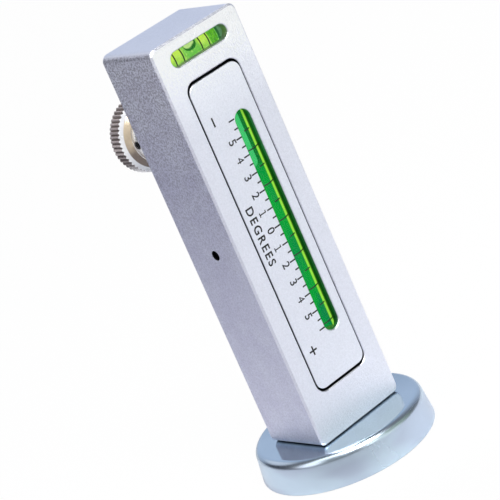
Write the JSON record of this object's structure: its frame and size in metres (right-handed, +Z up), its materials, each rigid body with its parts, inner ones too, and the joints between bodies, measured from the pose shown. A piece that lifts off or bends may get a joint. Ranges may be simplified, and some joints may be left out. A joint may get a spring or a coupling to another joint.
{
  "type": "camber caster gauge",
  "caption": "Upright bar on a round magnet, with a long level vial in a rocking scale block, a short cross vial and a thumbscrew.",
  "frame": {"origin": "on the axis of the bar and the magnet, on the magnet's working face", "axes": "+Z up the long axis of the bar; the vials face -Y, the knob stands out towards +Y, +X is to the right as seen from the front"},
  "size_m": [0.0422, 0.0473, 0.106],
  "materials": {
    "satin_aluminium": "bead blasted and silver anodised",
    "scale_aluminium": "bead blasted and silver anodised, black printed scale",
    "plain_aluminium": "turned, bare",
    "vial_tube": "clear acrylic with black printed rings",
    "green_liquid": "green dyed spirit",
    "yellow_green_liquid": "yellow-green dyed spirit",
    "vial_plug": "moulded plug glued in the tube",
    "bubble": "air",
    "dark_steel": "ground",
    "spring_steel": "drawn wire",
    "nickel_plate": "bright nickel plate",
    "black_steel": "black oxide",
    "brass": "turned",
    "zinc_plate": "polished, bright zinc plate",
    "ferrite": "sintered ferrite",
    "resin": "potting resin",
    "zinc_screw": "zinc plate"
  },
  "bodies": {
    "bar": {"housing": "satin_aluminium", "pivot_pins": "dark_steel", "block_spring": "spring_steel", "cross_vial_tube": "vial_tube", "cross_vial_liquid": "yellow_green_liquid", "cross_vial_plugs": "vial_plug", "cross_bore_plug": "plain_aluminium", "magnet_cup": "zinc_plate", "magnet_ring": "ferrite", "magnet_resin": "resin", "base_screw": "zinc_screw"},
    "block": {"scale_block": "scale_aluminium", "scale_block_plug": "plain_aluminium", "long_vial_tube": "vial_tube", "long_vial_liquid": "green_liquid", "long_vial_plugs": "vial_plug"},
    "long_bubble": {"long_vial_bubble": "bubble"},
    "cross_bubble": {"cross_vial_bubble": "bubble"},
    "pad": {"thrust_pad": "brass"},
    "thumbscrew": {"thumb_knob": "nickel_plate", "screw_stud": "black_steel", "knob_grub_screw": "black_steel"}
  },
  "joints": [
    {"name": "screw_feed", "type": "slide", "parent": "bar", "child": "pad", "axis": [0, -1, 0], "range_m": [-0.00107, 0.00107]},
    {"name": "knob_turn", "type": "hinge", "parent": "pad", "child": "thumbscrew", "pos_m": [0, 0.02075, 0.0817], "axis": [0, -1, 0], "range_deg": [-480.5, 480.5]},
    {"name": "block_tilt", "type": "hinge", "parent": "bar", "child": "block", "pos_m": [0, -0.00095, 0.05705], "axis": [1, 0, 0], "range_deg": [-2.5, 2.5], "deforming": ["block_spring"]},
    {"name": "long_bubble_travel", "type": "slide", "parent": "block", "child": "long_bubble", "axis": [0, 0, -1], "range_m": [0, 0.04], "stiffness_N_per_m": 0.15, "springref_m": -0.03},
    {"name": "cross_bubble_travel", "type": "slide", "parent": "bar", "child": "cross_bubble", "axis": [1, 0, 0], "range_m": [-0.0079, 0.0031], "stiffness_N_per_m": 0.2}
  ],
  "couplings": [
    {"joint": "knob_turn", "follows": "screw_feed", "rad_per_m": 7854},
    {"joint": "block_tilt", "follows": "screw_feed", "rad_per_m": 40.568}
  ]
}
